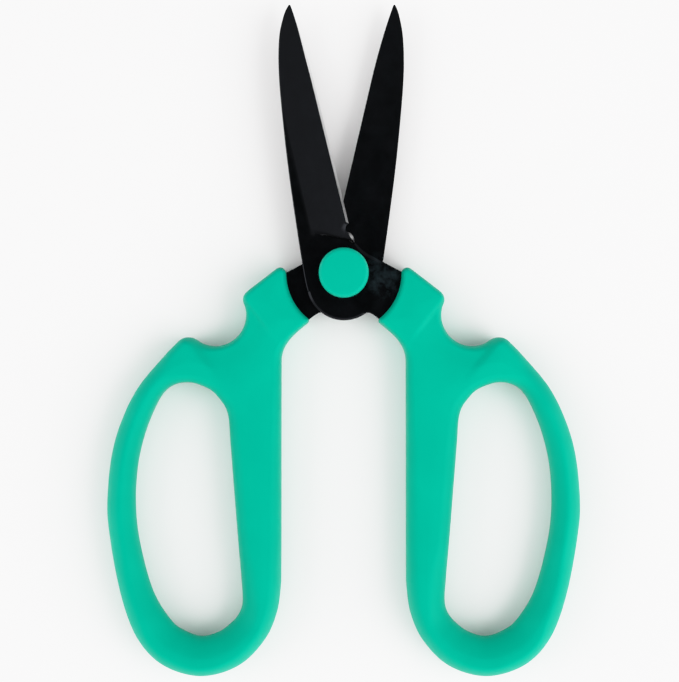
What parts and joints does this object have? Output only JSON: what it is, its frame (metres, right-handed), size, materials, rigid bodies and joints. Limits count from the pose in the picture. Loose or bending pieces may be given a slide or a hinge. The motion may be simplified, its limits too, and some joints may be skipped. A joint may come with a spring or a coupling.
{
  "type": "floral snips",
  "caption": "Hand snips for cut flowers, with crossing straight blades on a capped pivot bolt and closed moulded finger loops.",
  "frame": {"origin": "centre of the bolt head's flat outer face, on the pivot axis, in the plane that the snips rest on", "axes": "+Y from the pivot towards the blade tips, midway between the open blades; +Z along the pivot axis from the bolt head towards the cap; +X to the right, on the side of the handle that carries the upper blade"},
  "size_m": [0.1154, 0.1643, 0.0136],
  "materials": {
    "black_coated_steel": "satin non-stick coating over carbon steel, with a bare ground bevel",
    "green_handle_plastic": "satin moulded nylon",
    "green_cap_plastic": "satin moulded plastic",
    "pivot_steel": "plated and turned",
    "spring_steel": "dull spring temper"
  },
  "bodies": {
    "left_half": {"left_handle": "green_handle_plastic", "lower_blade": "black_coated_steel", "pivot_bolt": "pivot_steel", "flat_washer": "pivot_steel", "wave_washer": "spring_steel", "pivot_nut": "pivot_steel", "pivot_cap": "green_cap_plastic"},
    "right_half": {"right_handle": "green_handle_plastic", "upper_blade": "black_coated_steel"}
  },
  "joints": [
    {"name": "blade_pivot", "type": "hinge", "parent": "left_half", "child": "right_half", "pos_m": [0, 0, 0.0053], "axis": [0, 0, 1], "range_deg": [-22, 33]}
  ]
}
